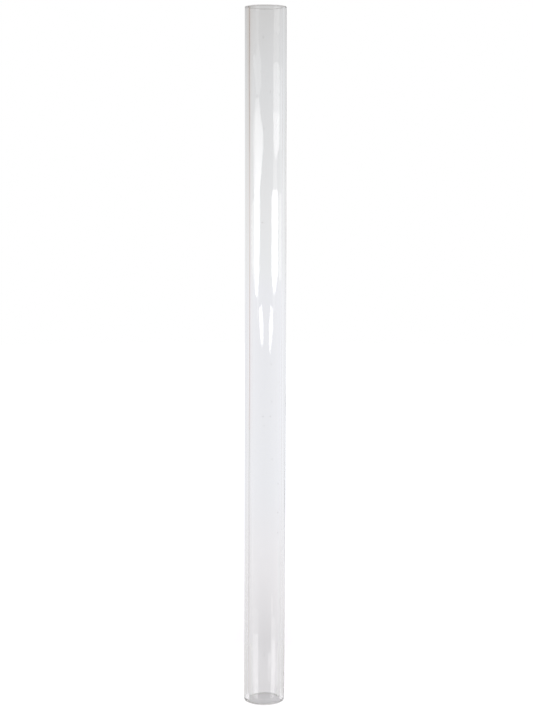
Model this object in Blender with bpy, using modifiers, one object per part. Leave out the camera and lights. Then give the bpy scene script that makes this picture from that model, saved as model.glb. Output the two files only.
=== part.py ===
"""A straight, heavy-walled clear glass tube, open at both ends, standing upright on one of them.

The tube is one piece of drawn glass, so it is one object: a closed wall profile turned about the Z axis.
The frame's origin is the centre of the lower opening, and the tube runs up +Z. Units are metres.
"""

import math

import bpy

OUTSIDE_DIAMETER = 0.030
WALL = 0.003
LENGTH = 0.510
RIM_RADIUS = 0.0008  # the flame rounds the cut edges and leaves a flat ring between them

SIDES = 96  # facets around the tube
RIM_STEPS = 4  # facets across each rounded edge

# Outside and inside are measured from the axis.
OUTSIDE = OUTSIDE_DIAMETER / 2
INSIDE = OUTSIDE - WALL

MERGE = 0.00001

GLASS_COLOUR = (0.93, 0.95, 0.95, 1.0)
GLASS_ROUGHNESS = 0.02
GLASS_IOR = 1.47


def clear_scene():
    for old in list(bpy.data.objects):
        bpy.data.objects.remove(old)


def glass():
    """Clear colourless glass."""
    material = bpy.data.materials.new("clear_glass")
    material.use_nodes = True
    shader = material.node_tree.nodes["Principled BSDF"]
    shader.inputs["Base Color"].default_value = GLASS_COLOUR
    shader.inputs["Roughness"].default_value = GLASS_ROUGHNESS
    shader.inputs["Metallic"].default_value = 0.0
    shader.inputs["IOR"].default_value = GLASS_IOR
    shader.inputs["Transmission Weight"].default_value = 1.0
    return material


def rounded_edge(radius, height, start_degrees):
    """The quarter circle of one edge of the wall, running clockwise from start_degrees about its centre."""
    points = []
    for step in range(RIM_STEPS + 1):
        angle = math.radians(start_degrees - 90 * step / RIM_STEPS)
        points.append((radius + RIM_RADIUS * math.cos(angle), height + RIM_RADIUS * math.sin(angle)))
    return points


def wall_profile():
    """The outline of the wall at +X as (radius, height), down its outer side and up its bore."""
    outer = OUTSIDE - RIM_RADIUS
    inner = INSIDE + RIM_RADIUS
    top = LENGTH - RIM_RADIUS
    bottom = RIM_RADIUS
    return (
        rounded_edge(outer, top, 90)
        + rounded_edge(outer, bottom, 0)
        + rounded_edge(inner, bottom, -90)
        + rounded_edge(inner, top, -180)
    )


def turned(name, profile, material):
    """A closed profile turned a full circle about Z."""
    mesh = bpy.data.meshes.new(name)
    points = [(radius, 0.0, height) for radius, height in profile]
    edges = [(index, (index + 1) % len(points)) for index in range(len(points))]
    mesh.from_pydata(points, edges, [])
    mesh.materials.append(material)
    obj = bpy.data.objects.new(name, mesh)
    screw = obj.modifiers.new("turn", "SCREW")
    screw.axis = "Z"
    screw.steps = SIDES
    screw.render_steps = SIDES
    screw.use_merge_vertices = True
    screw.merge_threshold = MERGE
    screw.use_smooth_shade = True
    return obj


def main():
    clear_scene()
    collection = bpy.data.collections.new("clear_glass_tube")
    bpy.context.scene.collection.children.link(collection)
    collection.objects.link(turned("glass_tube", wall_profile(), glass()))


main()
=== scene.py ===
"""Looks of a straight, heavy-walled clear glass tube, open at both ends, standing on its lower rim.

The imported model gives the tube's length, its outside radius and its bore. The tube itself is drawn glass:
round edges at both mouths, a bore that wanders a little, an outside that is never quite round, and faint
lines along it.

What shows on the glass is the studio around it: softboxes and glows that it reflects, darker cards that its
thick wall turns into a line along each edge of the bore, and walls that are dimmer higher up.
"""

import math

import bpy
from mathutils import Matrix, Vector


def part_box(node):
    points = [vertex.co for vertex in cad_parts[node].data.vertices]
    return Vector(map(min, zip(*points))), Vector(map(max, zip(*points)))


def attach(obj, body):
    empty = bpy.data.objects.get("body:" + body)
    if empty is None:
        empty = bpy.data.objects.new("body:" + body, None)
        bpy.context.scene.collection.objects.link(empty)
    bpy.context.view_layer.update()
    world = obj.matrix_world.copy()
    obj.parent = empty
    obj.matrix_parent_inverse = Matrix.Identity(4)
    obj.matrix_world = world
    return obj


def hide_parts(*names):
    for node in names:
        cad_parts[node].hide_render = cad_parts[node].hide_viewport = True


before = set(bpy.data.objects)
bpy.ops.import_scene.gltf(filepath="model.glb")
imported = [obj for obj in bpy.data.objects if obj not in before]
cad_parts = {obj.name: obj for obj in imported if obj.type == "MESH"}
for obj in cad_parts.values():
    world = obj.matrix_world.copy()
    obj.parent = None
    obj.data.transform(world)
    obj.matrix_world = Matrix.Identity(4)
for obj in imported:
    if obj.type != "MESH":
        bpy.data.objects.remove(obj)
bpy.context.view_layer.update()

# The tube's own sizes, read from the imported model. Every length is in metres, unless it says otherwise.
LOW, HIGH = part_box("glass_tube")
LENGTH = HIGH.z - LOW.z
OUTSIDE = (HIGH.x - LOW.x) / 2
NOMINAL_BORE = min(math.hypot(v.co.x, v.co.y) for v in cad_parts["glass_tube"].data.vertices)
WALL_THICKER = 0.0002  # within the usual tolerance, this wall came out a little thicker
BORE = NOMINAL_BORE - WALL_THICKER
RIM_RADIUS = 0.0008

# How finely the glass is meshed.
SIDES = 192
RING_SPACING = 0.004
RIM_STEPS = 6
RIM_GUARD = 0.00015  # keeps the shading of a rounded edge off the straight wall

# How far drawn glass strays from a true tube.
OVAL = 0.00002
TREFOIL = 0.00001
BORE_OVAL = 0.00005
BORE_TREFOIL = 0.00002
BORE_OFFSET = 0.0002
BOW = 0.00035  # from the ends to the middle

# Glass.
GLASS_IOR = 1.47
ABSORPTION_COLOUR = (0.86, 0.85, 0.82)
ABSORPTION_DENSITY = 12.0
CLEAN = (1.0, 1.0, 1.0)
DUST = (0.30, 0.28, 0.26)
# The two rims are one ground glass given two colours and clearnesses: the upper one darker, as painted shade,
# and the lower one lighter, as painted light.
UPPER_RIM_PAINTED_SHADE = (0.60, 0.585, 0.57)
UPPER_RIM_ROUGHNESS = 0.40
UPPER_RIM_CLEARNESS = 0.5
LOWER_RIM_PAINTED_LIGHT = (0.96, 0.95, 0.94)
LOWER_RIM_ROUGHNESS = 0.50
LOWER_RIM_CLEARNESS = 0.35

# Patterns in the glass, as patches to a metre along x, y and z.
RIPPLES = (110.0, 110.0, 16.0)
RIPPLE_DEPTH = 0.00005
DRAW_LINES = (900.0, 900.0, 12.0)
DRAW_LINE_DEPTH = 0.000002
SMUDGES = (70.0, 70.0, 45.0)
SMUDGE_STARTS = 0.52  # of the pattern's 0 to 1
SMUDGE_FULL = 0.75
SMUDGE_ROUGHNESS = 0.03
SPECK_CELLS = 180.0  # to a metre, with at most one speck in each
SPECK_RADIUS = 0.075  # of a cell
SPECK_CORE = 0.6  # of a speck's radius
SPECKS_LEFT_OUT = 0.80
RIM_PATCHES = (300.0, 300.0, 300.0)
RIM_UNEVEN = (0.3, 0.7)  # where the roughness starts and stops changing, of the pattern's 0 to 1
RIM_ROUGHER = 0.06
RIM_DARKER = 0.94
RIM_GRAIN = (2500.0, 2500.0, 2500.0)
RIM_GRAIN_DEPTH = 0.00002

# The tube's materials, after its clear glass.
UPPER_RIM_SLOT = 1
LOWER_RIM_SLOT = 2

# Floor. Its painted glow is given as (distance from the axis, strength): brightest just outside the rim, as
# painted light, and dimmest around the foot, where it stands in for shade.
FLOOR_RADIUS = 2.5
FLOOR_SIDES = 96
FLOOR_GAP = 0.0002  # below the lower rim
FLOOR_FADE = (0.25, 0.90)  # distances between which it turns into the foot of the wall
FLOOR_ALBEDO = (0.60, 0.59, 0.605)
FLOOR_GLOW = (
    (0.0, 0.19),
    (0.011, 0.19),
    (0.0145, 0.30),
    (0.026, 0.18),
    (0.15, 0.10),
    (0.35, 0.172),
    (0.50, 0.20),
)
FLOOR_LIFT = 0.28  # how much more it glows to the camera
FLOOR_TINT = (1.0, 0.985, 1.0)

# The studio's walls as the glass sees them: (degrees above the horizon, colour).
WALL_FOOT = (0.824, 0.83, 0.862)
WALLS = (
    (-90.0, (0.72, 0.72, 0.72)),
    (-30.0, (0.78, 0.78, 0.79)),
    (-13.0, WALL_FOOT),
    (-3.8, WALL_FOOT),
    (-3.5, (0.815, 0.825, 0.84)),
    (-1.7, (0.795, 0.80, 0.81)),
    (0.4, (0.755, 0.76, 0.77)),
    (1.5, (0.735, 0.74, 0.75)),
    (3.2, (0.70, 0.705, 0.715)),
    (4.6, (0.655, 0.655, 0.66)),
    (6.0, (0.61, 0.605, 0.605)),
    (9.0, (0.56, 0.555, 0.555)),
    (40.0, (0.45, 0.45, 0.45)),
    (90.0, (0.60, 0.60, 0.60)),
)
FILL = 0.97  # strength of the even light that falls on the floor in their place

# The walls are lighter to both sides of what is straight ahead or behind. They are also lighter to the right,
# and bluer, by the first amount at the first angle above the horizon and by the second at the second.
SIDES_LIGHTER = 0.20
RIGHT_LIGHTER = (0.02, 0.11)
RIGHT_LIGHTER_AT = (-4.0, 5.0)
RIGHT_COLOUR = (0.8, 1.0, 1.2)

# The light above the camera, in metres and watts.
KEY_SIZE = 0.30
KEY_POWER = 8.0
KEY_PLACE = Vector((0, -1.25, 0.95))
KEY_AIM = Vector((0, 0.2, 0))

# Cards stand in a ring around the tube, or lie just over the floor. A card's outline is in bearings, which
# are in degrees from the camera's side and positive to the right. With them go heights where it stands, and
# distances from the axis where it lies.
RING = 1.3
CARD_LIFT = 0.0001
CARD_LEVEL = LOW.z + CARD_LIFT

# The most surfaces of glass that light goes through on its way to a soft card: none, so that the card is only
# reflected, those of one wall, or those of both.
NO_WALL = 0
ONE_WALL = 3
BOTH_WALLS = 8

# Colours of the darker cards, from the top of the left one down, and then of the right one.
BROWN = (0.385, 0.315, 0.275)
PALE_BROWN = (0.45, 0.385, 0.35)
WARM_GREY = (0.58, 0.52, 0.495)
LIGHT_GREY = (0.66, 0.60, 0.585)
LEFT_FLOOR_GREY = (0.65, 0.635, 0.635)
GREY = (0.66, 0.66, 0.67)
NEAR_WHITE = (0.80, 0.80, 0.83)
RIGHT_FLOOR_GREY = (0.77, 0.765, 0.775)

# Shade on the floor close to the foot, to the right and mirrored to the left: (distance, bearings, colour).
FOOT_SHADE = (
    (0.017, (104, 110, 140, 146), (0.725, 0.715, 0.72)),
    (0.045, (109, 116, 149, 156), (0.725, 0.715, 0.72)),
    (0.10, (121, 128, 157, 164), (0.745, 0.735, 0.74)),
    (0.15, (124, 131, 160, 167), (0.785, 0.775, 0.78)),
)

# Light in a thick wall of glass turns back many times before it leaves.
MOST_BOUNCES = 32
MOST_BOUNCES_OF_A_KIND = 24

# Camera, in tube lengths and degrees, with its shift to the side in metres and its lens and sensor in
# millimetres.
CAMERA_DISTANCE = 2.27
CAMERA_HEIGHT = 0.77
CAMERA_PITCH = 6.574
CAMERA_ROLL = -0.15
CAMERA_SIDE = 0.000675
LENS = 80.65
SENSOR = 36.0


def wave(height, length, phase):
    """A slow swing along the tube, from -1 to 1, with a second swing that never falls in step with it."""
    turn = 2 * math.pi * height / length
    return 0.65 * math.sin(turn + phase) + 0.35 * math.sin(turn * 2.414 + phase * 1.7)


def outside_stray(angle, height):
    """How far the outside is from round. Its oval and trefoil swell and twist slowly along the tube."""
    swell = 1 + 0.5 * wave(height, 0.31, 0.4)
    twist = 0.6 + 0.5 * wave(height, 0.43, 1.1)
    oval = OVAL * swell * math.cos(2 * (angle - twist))
    trefoil = TREFOIL * math.cos(3 * (angle - 0.4 * wave(height, 0.17, 2.0)))
    return oval + trefoil


def bore_stray(angle, height):
    """The same for the bore, which also lies a little to one side."""
    swell = 1 + 0.5 * wave(height, 0.23, 2.4)
    twist = 0.6 * wave(height, 0.37, 0.2) - 0.5
    oval = BORE_OVAL * swell * math.cos(2 * (angle - twist))
    trefoil = BORE_TREFOIL * math.cos(3 * (angle + 0.5 * wave(height, 0.14, 0.9)))
    offset = BORE_OFFSET * math.cos(angle - 0.3 * wave(height, 0.52, 1.9))
    return oval + trefoil + offset


def bow(height):
    """Sideways, as far to one side at the ends as to the other in the middle."""
    along = 2 * (height - LOW.z) / LENGTH - 1
    return BOW * (0.5 - along * along)


def rounded_edge(radius, height, start):
    """Quarter circle of one rounded edge, clockwise from start, as (radius, height)."""
    points = []
    for step in range(RIM_STEPS + 1):
        angle = start - math.pi / 2 * step / RIM_STEPS
        points.append((radius + RIM_RADIUS * math.cos(angle), height + RIM_RADIUS * math.sin(angle)))
    return points


def straight(radius, start, end):
    """Points down or up a straight wall, between its two rounded edges and without them."""
    count = round(abs(end - start) / RING_SPACING)
    guard = math.copysign(RIM_GUARD, end - start)
    heights = [start + (end - start) * step / count for step in range(1, count)]
    return [(radius, height) for height in [start + guard, *heights, end - guard]]


def wall_profile():
    """The wall's outline as (radius, height), down its outer side, under, up its bore and over the top."""
    low = LOW.z + RIM_RADIUS
    high = HIGH.z - RIM_RADIUS
    outer = OUTSIDE - RIM_RADIUS
    inner = BORE + RIM_RADIUS
    return (
        rounded_edge(outer, high, math.pi / 2)
        + straight(OUTSIDE, high, low)
        + rounded_edge(outer, low, 0.0)
        + rounded_edge(inner, low, -math.pi / 2)
        + straight(BORE, low, high)
        + rounded_edge(inner, high, -math.pi)
    )


def ring_points(radius, height):
    """One ring of the tube, strayed like the outside on its outer side, and like the bore on its inner."""
    share = (radius - BORE) / (OUTSIDE - BORE)
    points = []
    for side in range(SIDES):
        angle = 2 * math.pi * side / SIDES
        strayed = radius + share * outside_stray(angle, height) + (1 - share) * bore_stray(angle, height)
        points.append((strayed * math.cos(angle) + bow(height), strayed * math.sin(angle), height))
    return points


def glass_mesh():
    profile = wall_profile()
    points = []
    for radius, height in profile:
        points.extend(ring_points(radius, height))
    faces = []
    for ring in range(len(profile)):
        here = ring * SIDES
        there = (ring + 1) % len(profile) * SIDES
        for side in range(SIDES):
            across = (side + 1) % SIDES
            faces.append((here + side, there + side, there + across, here + across))
    mesh = bpy.data.meshes.new("drawn_glass_tube")
    mesh.from_pydata(points, [], faces)
    mesh.shade_smooth()
    return mesh


class Nodes:
    """Adds nodes to one node tree. A value is either another node's output or a plain number or colour."""

    def __init__(self, tree):
        self.tree = tree

    def add(self, kind, **settings):
        node = self.tree.nodes.new("ShaderNode" + kind)
        for name, value in settings.items():
            setattr(node, name, value)
        return node

    def link(self, source, target):
        self.tree.links.new(source, target)

    def output(self, source, kind="Surface"):
        self.link(source, self.tree.nodes["Material Output"].inputs[kind])

    def feed(self, values, targets):
        for value, target in zip(values, targets):
            if isinstance(value, bpy.types.NodeSocket):
                self.link(value, target)
            else:
                target.default_value = value

    def math(self, operation, *values):
        node = self.add("Math", operation=operation)
        self.feed(values, node.inputs)
        return node.outputs["Value"]

    def vector_math(self, operation, *values):
        node = self.add("VectorMath", operation=operation)
        self.feed(values, node.inputs)
        return node.outputs["Vector"]

    def place(self, kind):
        return self.add("TexCoord").outputs[kind]

    def parts(self, vector):
        """The x, y and z of a vector."""
        node = self.add("SeparateXYZ")
        self.link(vector, node.inputs[0])
        return node.outputs

    def between(self, value, low, high, at_low=0.0, at_high=1.0, how="LINEAR"):
        """The value, changed from low..high to at_low..at_high and held there beyond them."""
        node = self.add("MapRange", interpolation_type=how)
        names = ("Value", "From Min", "From Max", "To Min", "To Max")
        self.feed((value, low, high, at_low, at_high), [node.inputs[name] for name in names])
        return node.outputs["Result"]

    def ramp(self, value, wanted):
        """A colour ramp with these (position, colour) stops."""
        node = self.add("ValToRGB")
        self.link(value, node.inputs["Fac"])
        stops = node.color_ramp.elements
        while len(stops) < len(wanted):
            stops.new(0.5)
        for stop, (position, colour) in zip(stops, wanted):
            stop.position = position
            stop.color = (*colour, 1.0)
        return node.outputs["Color"]

    def mixed(self, share, first, second):
        """The first plain colour turning into the second."""
        node = self.add("Mix", data_type="RGBA")
        self.link(share, node.inputs["Factor"])
        node.inputs["A"].default_value = (*first, 1.0)
        node.inputs["B"].default_value = (*second, 1.0)
        return node.outputs["Result"]

    def mix_shader(self, share, first, second):
        node = self.add("MixShader")
        self.feed((share, first, second), node.inputs)
        return node.outputs["Shader"]

    def pattern(self, scale, detail):
        """Soft random patches, from 0 to 1, with this many of them to a metre along x, y and z."""
        squeeze = self.add("Mapping")
        squeeze.inputs["Scale"].default_value = scale
        self.link(self.place("Object"), squeeze.inputs["Vector"])
        noise = self.add("TexNoise")
        noise.inputs["Scale"].default_value = 1.0
        noise.inputs["Detail"].default_value = detail
        self.link(squeeze.outputs["Vector"], noise.inputs["Vector"])
        return noise.outputs["Fac"]

    def bumps(self, height, depth, under=None):
        """Bumps of this depth, on top of other ones if there are any."""
        bump = self.add("Bump")
        bump.inputs["Strength"].default_value = 1.0
        bump.inputs["Distance"].default_value = depth
        self.link(height, bump.inputs["Height"])
        if under:
            self.link(under, bump.inputs["Normal"])
        return bump.outputs["Normal"]


def new_material(name):
    """A material, with its nodes and its Principled shader."""
    material = bpy.data.materials.new(name)
    material.use_nodes = True
    tree = material.node_tree
    return material, Nodes(tree), tree.nodes["Principled BSDF"]


def specks(nodes):
    """A few dust specks, each a small round spot: 1 on the speck and 0 elsewhere."""
    cells = nodes.add("TexVoronoi")
    cells.inputs["Scale"].default_value = SPECK_CELLS
    nodes.link(nodes.place("Object"), cells.inputs["Vector"])
    spot = nodes.between(cells.outputs["Distance"], SPECK_RADIUS * SPECK_CORE, SPECK_RADIUS, 1.0, 0.0)
    chosen = nodes.math("GREATER_THAN", cells.outputs["Color"], SPECKS_LEFT_OUT)
    return nodes.math("MULTIPLY", spot, chosen)


def glass_material():
    """Clear drawn glass: faint lines along it, a slow ripple, finger smudges and a few specks of dust."""
    material, nodes, shader = new_material("drawn_clear_glass")
    shader.inputs["IOR"].default_value = GLASS_IOR
    shader.inputs["Transmission Weight"].default_value = 1.0
    nodes.link(nodes.mixed(specks(nodes), CLEAN, DUST), shader.inputs["Base Color"])
    smudges = nodes.pattern(SMUDGES, 3.0)
    roughness = nodes.between(smudges, SMUDGE_STARTS, SMUDGE_FULL, 0.0, SMUDGE_ROUGHNESS)
    nodes.link(roughness, shader.inputs["Roughness"])
    ripple = nodes.bumps(nodes.pattern(RIPPLES, 1.0), RIPPLE_DEPTH)
    lines = nodes.bumps(nodes.pattern(DRAW_LINES, 2.0), DRAW_LINE_DEPTH, ripple)
    nodes.link(lines, shader.inputs["Normal"])

    absorption = nodes.add("VolumeAbsorption")
    absorption.inputs["Color"].default_value = (*ABSORPTION_COLOUR, 1.0)
    absorption.inputs["Density"].default_value = ABSORPTION_DENSITY
    nodes.output(absorption.outputs["Volume"], "Volume")
    return material


def rim_material(name, colour, roughness, clearness):
    """Glass that the flame has rounded and left with a fine, uneven matt skin. The colour it is given is
    painted: darker at the upper rim as painted shade, lighter at the lower rim as painted light.
    """
    material, nodes, shader = new_material(name)
    shader.inputs["IOR"].default_value = GLASS_IOR
    shader.inputs["Transmission Weight"].default_value = clearness
    skin = nodes.pattern(RIM_PATCHES, 2.0)
    darker = [part * RIM_DARKER for part in colour]
    nodes.link(nodes.mixed(skin, darker, colour), shader.inputs["Base Color"])
    uneven = nodes.between(skin, *RIM_UNEVEN, roughness - RIM_ROUGHER, roughness + RIM_ROUGHER)
    nodes.link(uneven, shader.inputs["Roughness"])
    nodes.link(nodes.bumps(nodes.pattern(RIM_GRAIN, 2.0), RIM_GRAIN_DEPTH), shader.inputs["Normal"])
    return material


def build_tube():
    tube = bpy.data.objects.new("drawn_glass_tube", glass_mesh())
    bpy.context.scene.collection.objects.link(tube)
    materials = tube.data.materials
    materials.append(glass_material())
    materials.append(rim_material("upper_rim", UPPER_RIM_PAINTED_SHADE, UPPER_RIM_ROUGHNESS, UPPER_RIM_CLEARNESS))
    materials.append(rim_material("lower_rim", LOWER_RIM_PAINTED_LIGHT, LOWER_RIM_ROUGHNESS, LOWER_RIM_CLEARNESS))
    for face in tube.data.polygons:
        if face.center.z > HIGH.z - RIM_RADIUS:
            face.material_index = UPPER_RIM_SLOT
        if face.center.z < LOW.z + RIM_RADIUS:
            face.material_index = LOWER_RIM_SLOT
    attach(tube, "root")
    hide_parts("glass_tube")


def white(strength):
    """A white of this strength, as a colour."""
    return (strength, strength, strength)


def sideways(nodes, across, colour, right_lighter):
    """A colour changed a little from left to right, with across from -1 at the left to 1 at the right."""
    right = nodes.math("MULTIPLY", across, right_lighter)
    tilt = nodes.vector_math("MULTIPLY_ADD", right, RIGHT_COLOUR, (1.0, 1.0, 1.0))
    tilted = nodes.vector_math("MULTIPLY", colour, tilt)
    square = nodes.math("MULTIPLY", across, across)
    lighter = nodes.add("VectorMath", operation="SCALE")
    nodes.link(tilted, lighter.inputs[0])
    nodes.link(nodes.math("MULTIPLY_ADD", square, SIDES_LIGHTER, 1.0), lighter.inputs["Scale"])
    return lighter.outputs["Vector"]


def pale_floor():
    """Matt white with a painted glow that changes with the distance from the axis: painted light just outside
    the rim and painted shade around the foot. It is a little lighter to the sides and to the right, turns
    into the foot of the wall, and glows more still to the camera.
    """
    material, nodes, shader = new_material("pale_floor")
    place = nodes.place("Object")
    distance = nodes.add("VectorMath", operation="LENGTH")
    nodes.link(place, distance.inputs[0])
    across = nodes.parts(nodes.vector_math("NORMALIZE", place))["X"]
    to_camera = nodes.add("LightPath").outputs["Is Camera Ray"]

    shader.inputs["Base Color"].default_value = (*FLOOR_ALBEDO, 1.0)
    shader.inputs["Roughness"].default_value = 1.0
    shader.inputs["Specular IOR Level"].default_value = 0.0
    nodes.link(sideways(nodes, across, FLOOR_TINT, RIGHT_LIGHTER[0]), shader.inputs["Emission Color"])
    glows = [(reach, white(strength)) for reach, strength in FLOOR_GLOW]
    glow = nodes.ramp(distance.outputs["Value"], glows)
    nodes.link(nodes.math("MULTIPLY_ADD", to_camera, FLOOR_LIFT, glow), shader.inputs["Emission Strength"])

    far = nodes.add("Emission")
    nodes.link(sideways(nodes, across, WALL_FOOT, RIGHT_LIGHTER[0]), far.inputs["Color"])
    nodes.link(nodes.math("MULTIPLY_ADD", to_camera, FLOOR_LIFT, 1.0), far.inputs["Strength"])
    fade = nodes.between(distance.outputs["Value"], *FLOOR_FADE, how="SMOOTHSTEP")
    nodes.output(nodes.mix_shader(fade, shader.outputs["BSDF"], far.outputs["Emission"]))
    return material


def build_floor():
    bpy.ops.mesh.primitive_circle_add(
        vertices=FLOOR_SIDES,
        radius=FLOOR_RADIUS,
        fill_type="NGON",
        location=(0, 0, LOW.z - FLOOR_GAP),
    )
    floor = bpy.context.object
    floor.name = "floor"
    floor.data.materials.append(pale_floor())
    floor.visible_glossy = False


def plain_background(nodes, strength):
    shader = nodes.add("Background")
    shader.inputs["Color"].default_value = (1.0, 1.0, 1.0, 1.0)
    shader.inputs["Strength"].default_value = strength
    return shader.outputs["Background"]


def build_world():
    """Walls that the glass sees, an even fill for the floor, and plain white behind it for the camera."""
    world = bpy.data.worlds.new("studio")
    world.use_nodes = True
    bpy.context.scene.world = world
    tree = world.node_tree
    nodes = Nodes(tree)
    direction = nodes.parts(nodes.place("Generated"))
    elevation = nodes.math("ARCSINE", direction["Z"])
    share = nodes.between(elevation, -math.pi / 2, math.pi / 2)
    colours = nodes.ramp(share, [((degrees + 90) / 180, colour) for degrees, colour in WALLS])
    right_from, right_to = (math.radians(degrees) for degrees in RIGHT_LIGHTER_AT)
    right_lighter = nodes.between(elevation, right_from, right_to, *RIGHT_LIGHTER)
    walls = tree.nodes["Background"]
    nodes.link(sideways(nodes, direction["X"], colours, right_lighter), walls.inputs["Color"])

    seen = nodes.add("LightPath")
    fill = plain_background(nodes, FILL)
    lit = nodes.mix_shader(seen.outputs["Diffuse Depth"], walls.outputs["Background"], fill)
    shown = nodes.mix_shader(seen.outputs["Is Camera Ray"], lit, plain_background(nodes, 1.0))
    nodes.link(shown, tree.nodes["World Output"].inputs["Surface"])


def build_key():
    """The softbox above the camera that lights the floor, with the tube's shadow straight behind it."""
    data = bpy.data.lights.new("key", "AREA")
    data.shape = "SQUARE"
    data.size = KEY_SIZE
    data.energy = KEY_POWER
    key = bpy.data.objects.new("key", data)
    key.location = KEY_PLACE
    key.rotation_euler = (KEY_AIM - KEY_PLACE).to_track_quat("-Z", "Y").to_euler()
    bpy.context.scene.collection.objects.link(key)
    key.visible_camera = False
    key.visible_glossy = False
    key.visible_transmission = False


def studio_card(name, points, faces, material):
    """A card in the studio that only the glass sees."""
    mesh = bpy.data.meshes.new(name)
    mesh.from_pydata(points, [], faces)
    mesh.materials.append(material)
    card = bpy.data.objects.new(name, mesh)
    bpy.context.scene.collection.objects.link(card)
    card.visible_camera = False
    card.visible_diffuse = False
    card.visible_shadow = False
    return card


def card_material(name, surface):
    """A material made of the shader that surface adds to its nodes."""
    material, nodes, shader = new_material(name)
    nodes.tree.nodes.remove(shader)
    nodes.output(surface(nodes))
    return material


def white_card(name, corners, strength):
    """A lit white card that shows only as a reflection on the glass, and not through it."""

    def surface(nodes):
        shine = nodes.add("Emission")
        shine.inputs["Strength"].default_value = strength
        passing = nodes.add("LightPath").outputs["Is Transmission Ray"]
        clear = nodes.add("BsdfTransparent").outputs["BSDF"]
        return nodes.mix_shader(passing, shine.outputs["Emission"], clear)

    studio_card(name, corners, [range(len(corners))], card_material(name, surface))


def soft_card(name, covers, rows, surfaces):
    """A card whose colour changes from row to row, and which fades out towards the columns with cover 0.

    It shows in the glass only to light that goes through no more than this many of its surfaces.
    """

    def surface(nodes):
        shade = nodes.add("Attribute", attribute_name="shade")
        shine = nodes.add("Emission")
        nodes.link(shade.outputs["Color"], shine.inputs["Color"])
        depth = nodes.add("LightPath").outputs["Transmission Depth"]
        few = nodes.math("LESS_THAN", depth, surfaces + 0.5)
        cover = nodes.math("MULTIPLY", shade.outputs["Alpha"], few)
        clear = nodes.add("BsdfTransparent").outputs["BSDF"]
        return nodes.mix_shader(cover, clear, shine.outputs["Emission"])

    width = len(covers)
    points = [point for row, _ in rows for point in row]
    faces = []
    for low in range(0, width * (len(rows) - 1), width):
        for left in range(low, low + width - 1):
            faces.append((left, left + 1, left + width + 1, left + width))
    card = studio_card(name, points, faces, card_material(name, surface))
    shade = card.data.color_attributes.new("shade", "FLOAT_COLOR", "POINT")
    colours = [(*colour, cover) for _, colour in rows for cover in covers]
    for vertex, colour in zip(shade.data, colours):
        vertex.color = colour


def around(bearing, distance, height):
    turn = math.radians(bearing)
    return (distance * math.sin(turn), -distance * math.cos(turn), height)


def standing(name, strength, *outline):
    """A white card in the ring, with its outline as (bearing, height)."""
    white_card(name, [around(bearing, RING, height) for bearing, height in outline], strength)


def lying(name, strength, *outline):
    """A white card on the floor, with its outline as (bearing, distance)."""
    white_card(name, [around(bearing, reach, CARD_LEVEL) for bearing, reach in outline], strength)


def standing_row(height, bearings, colour):
    return [around(bearing, RING, height) for bearing in bearings], colour


def lying_row(reach, bearings, colour):
    return [around(bearing, reach, CARD_LEVEL) for bearing in bearings], colour


def upright(left, right, low, high):
    return ((left, high), (right, high), (right, low), (left, low))


def build_left_softbox():
    standing(
        "left_softbox",
        7.5,
        (-66, 0.368),
        (-30, 0.368),
        (-32, 0.350),
        (-31, 0.300),
        (-34, 0.245),
        (-39, 0.222),
        (-43, 0.207),
        (-49, 0.199),
        (-57, 0.207),
        (-62, 0.222),
        (-66, 0.260),
        (-66, 0.350),
    )
    standing(
        "left_softbox_edge",
        3.0,
        (-66, 0.350),
        (-66, 0.260),
        (-62, 0.222),
        (-76, 0.235),
        (-84, 0.260),
        (-84, 0.335),
        (-76, 0.350),
    )
    standing(
        "left_tail",
        1.9,
        (-49, 0.199),
        (-43, 0.207),
        (-39, 0.222),
        (-38, 0.190),
        (-40, 0.165),
        (-46, 0.165),
    )
    standing(
        "left_low",
        7.0,
        (-36, 0.183),
        (-20, 0.189),
        (-11, 0.168),
        (-10, 0.137),
        (-17, 0.126),
        (-27, 0.134),
        (-36, 0.160),
    )


def build_right_softbox():
    standing(
        "right_softbox",
        7.5,
        (38, 0.368),
        (66, 0.368),
        (74, 0.357),
        (74, 0.243),
        (58, 0.213),
        (48, 0.206),
        (38, 0.218),
        (33, 0.250),
        (33, 0.357),
    )
    standing("right_edge", 2.8, *upright(80, 98, 0.229, 0.361))
    standing("right_tail", 1.6, (38, 0.218), (48, 0.206), (58, 0.213), (55, 0.180), (41, 0.180))
    standing(
        "right_low",
        7.0,
        (43, 0.186),
        (28, 0.189),
        (20, 0.160),
        (20, 0.129),
        (26, 0.115),
        (34, 0.129),
        (43, 0.152),
    )


def build_left_glows_above():
    """A flame-shaped glow above the softbox, with a wisp and a faint column over it."""
    soft_card(
        "left_flame",
        (0.0, 1.0, 1.0, 1.0),
        (
            standing_row(0.500, (-62, -54, -46, -37), white(2.9)),
            standing_row(0.472, (-72, -57, -44, -25), white(5.2)),
            standing_row(0.453, (-76, -57, -42, -14), white(5.5)),
            standing_row(0.430, (-77, -57, -40, -12), white(5.7)),
            standing_row(0.402, (-75, -54, -40, -21), white(6.8)),
            standing_row(0.368, (-73, -57, -42, -30), white(7.5)),
        ),
        NO_WALL,
    )
    standing(
        "left_wisp",
        2.1,
        (-46, 0.580),
        (-36, 0.580),
        (-24, 0.552),
        (-22, 0.520),
        (-36, 0.500),
        (-56, 0.508),
        (-58, 0.530),
        (-72, 0.548),
        (-72, 0.565),
        (-56, 0.564),
    )
    standing("left_column", 1.6, *upright(-58, -38, 0.58, 0.68))


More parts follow.
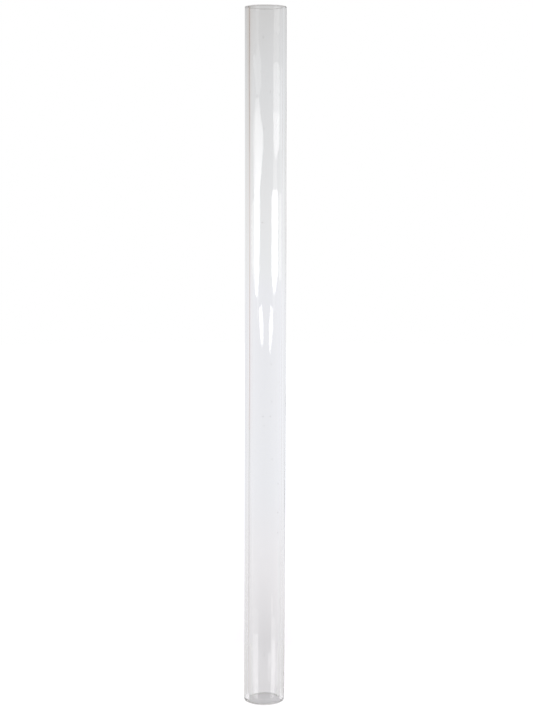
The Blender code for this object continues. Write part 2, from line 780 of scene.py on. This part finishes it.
def build_right_glows_above():
    """Window-like glows above the softbox, dimmer towards the top."""
    standing("right_link", 2.6, (44, 0.430), (54, 0.413), (66, 0.413), (68, 0.368), (42, 0.368))
    standing(
        "right_upper",
        5.6,
        (43, 0.481),
        (83, 0.481),
        (81, 0.435),
        (66, 0.413),
        (54, 0.413),
        (44, 0.430),
    )
    standing("right_top", 3.9, (47, 0.556), (79, 0.556), (83, 0.548), (83, 0.481), (43, 0.481), (43, 0.548))
    standing("right_column", 1.9, *upright(43, 78, 0.556, 0.60))
    standing("right_column_top", 2.6, *upright(46, 80, 0.60, 0.68))
    standing("right_edge_top", 2.0, *upright(95, 104, 0.426, 0.553))


def build_left_floor_glows():
    lying(
        "left_glow_near",
        4.7,
        (-25, 0.03),
        (-29, 0.05),
        (-31, 0.08),
        (-48, 0.08),
        (-45, 0.05),
        (-41, 0.03),
    )
    lying("left_glow", 3.6, (-31, 0.08), (-32, 0.125), (-33, 0.20), (-51, 0.20), (-50, 0.125), (-48, 0.08))
    lying(
        "left_glow_outer",
        2.5,
        (-41, 0.03),
        (-45, 0.05),
        (-50, 0.125),
        (-51, 0.20),
        (-66, 0.20),
        (-64, 0.125),
        (-58, 0.05),
        (-52, 0.03),
    )
    lying("left_glow_far", 1.4, (-34, 0.20), (-34, 0.27), (-50, 0.285), (-67, 0.275), (-67, 0.20))


def build_right_floor_glows():
    lying(
        "right_glow",
        4.2,
        (30, 0.03),
        (34, 0.05),
        (38, 0.125),
        (39, 0.18),
        (64, 0.18),
        (63, 0.125),
        (53, 0.05),
        (44, 0.03),
    )
    lying("right_glow_middle", 2.4, (39, 0.18), (39, 0.26), (62, 0.24), (64, 0.18))
    lying("right_glow_far", 2.2, (38, 0.26), (38, 0.32), (47, 0.32), (47, 0.25))
    lying("right_glow_patch", 2.8, (20, 0.105), (20, 0.145), (37, 0.145), (36, 0.105))
    lying("right_glow_patch_near", 1.9, (19, 0.07), (20, 0.105), (36, 0.105), (35, 0.07))


def build_left_flags():
    """Darker cards beside the tube's far side, which its thick wall turns into a line at the bore's left."""
    bearings = (-132, -127, -116, -102, -86)
    covers = (0.0, 1.0, 1.0, 0.8, 0.0)
    heights = (
        (1.2, BROWN),
        (0.56, BROWN),
        (0.48, PALE_BROWN),
        (0.40, WARM_GREY),
        (0.34, LIGHT_GREY),
        (-0.05, LIGHT_GREY),
    )
    rows = [standing_row(height, bearings, colour) for height, colour in heights]
    soft_card("left_flag", covers, rows, ONE_WALL)
    soft_card(
        "left_flag_floor",
        covers,
        (
            lying_row(1.31, (-131, -126, -116, -102, -86), LEFT_FLOOR_GREY),
            lying_row(0.25, (-127, -122, -113, -100, -84), LEFT_FLOOR_GREY),
            lying_row(0.08, (-120, -115, -106, -94, -79), LEFT_FLOOR_GREY),
            lying_row(0.03, (-105, -100, -92, -82, -70), LEFT_FLOOR_GREY),
        ),
        ONE_WALL,
    )


def build_right_flags():
    """The same for the bore's right, where the line is fainter."""
    bearings = (114, 119, 127, 132)
    covers = (0.0, 1.0, 1.0, 0.0)
    heights = ((1.2, GREY), (0.44, GREY), (0.36, NEAR_WHITE), (-0.05, NEAR_WHITE))
    rows = [standing_row(height, bearings, colour) for height, colour in heights]
    soft_card("right_flag", covers, rows, ONE_WALL)
    soft_card(
        "right_flag_floor",
        covers,
        (
            lying_row(1.31, (114, 119, 127, 132), RIGHT_FLOOR_GREY),
            lying_row(0.25, (112, 116, 124, 128), RIGHT_FLOOR_GREY),
            lying_row(0.08, (106, 110, 118, 122), RIGHT_FLOOR_GREY),
            lying_row(0.03, (92, 95, 101, 105), RIGHT_FLOOR_GREY),
        ),
        ONE_WALL,
    )


def build_foot_shades():
    """The floor is a little darker close to the foot, to both sides of what is straight behind."""
    for side in (-1, 1):
        rows = []
        for reach, bearings, colour in FOOT_SHADE:
            rows.append(lying_row(reach, [side * bearing for bearing in bearings], colour))
        soft_card("foot_shade", (0.0, 1.0, 1.0, 0.0), rows, BOTH_WALLS)


def let_light_pass():
    cycles = bpy.context.scene.cycles
    cycles.max_bounces = MOST_BOUNCES
    cycles.glossy_bounces = MOST_BOUNCES_OF_A_KIND
    cycles.transmission_bounces = MOST_BOUNCES_OF_A_KIND


def build_camera():
    data = bpy.data.cameras.new("camera")
    data.lens = LENS
    data.sensor_width = SENSOR
    camera = bpy.data.objects.new("camera", data)
    camera.location = (CAMERA_SIDE, -CAMERA_DISTANCE * LENGTH, LOW.z + CAMERA_HEIGHT * LENGTH)
    camera.rotation_euler = (math.radians(90 - CAMERA_PITCH), math.radians(CAMERA_ROLL), 0)
    bpy.context.scene.collection.objects.link(camera)
    bpy.context.scene.camera = camera


bpy.context.scene.view_settings.view_transform = "Standard"
build_tube()
build_floor()
build_world()
build_key()
build_left_softbox()
build_right_softbox()
build_left_glows_above()
build_right_glows_above()
build_left_floor_glows()
build_right_floor_glows()
build_left_flags()
build_right_flags()
build_foot_shades()
let_light_pass()
build_camera()
